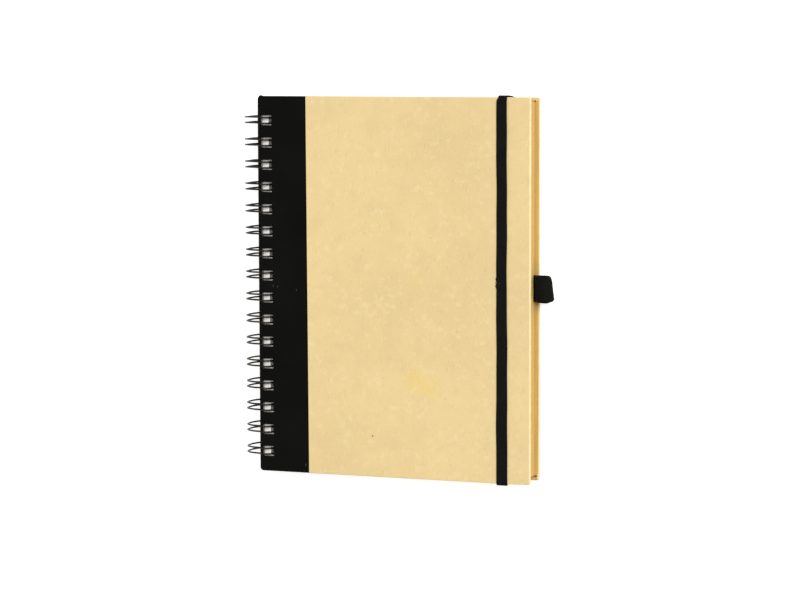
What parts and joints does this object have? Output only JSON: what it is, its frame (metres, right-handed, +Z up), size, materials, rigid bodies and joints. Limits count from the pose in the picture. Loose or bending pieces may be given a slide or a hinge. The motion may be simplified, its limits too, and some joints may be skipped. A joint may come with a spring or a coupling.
{
  "type": "spiral notebook",
  "caption": "Closed hard-cover notebook with twin-loop wire along one long edge, a dark strip beside the wire, an elastic closing band and a pen loop.",
  "frame": {"origin": "middle of the notebook's footprint, on the table it lies on, at the level of the wire loops' lowest point", "axes": "+X from the wire binding to the fore-edge, +Y along the binding towards the head, +Z up out of the front cover"},
  "size_m": [0.184, 0.218, 0.0222],
  "materials": {
    "sheets": "matte",
    "wire": "satin",
    "kraft_cover": "matte",
    "kraft_lining": "matte",
    "black_strip": "matte",
    "elastic": "matte"
  },
  "bodies": {
    "sheets": {"page_block": "sheets", "twin_loop_wire": "wire"},
    "front": {"front_cover": "kraft_cover", "front_spine_strip": "black_strip", "front_lining": "kraft_lining"},
    "back": {"back_cover": "kraft_cover", "back_spine_strip": "black_strip", "back_lining": "kraft_lining", "elastic_band": "elastic", "pen_loop": "elastic"}
  },
  "joints": [
    {"name": "front_cover_hinge", "type": "hinge", "parent": "sheets", "child": "front", "pos_m": [-0.08099, 0, 0.01108], "axis": [0, -1, 0], "range_deg": [0, 180], "deforming": ["elastic_band"]},
    {"name": "back_cover_hinge", "type": "hinge", "parent": "sheets", "child": "back", "pos_m": [-0.08099, 0, 0.01108], "axis": [0, 1, 0], "range_deg": [0, 180], "deforming": ["elastic_band"]}
  ]
}
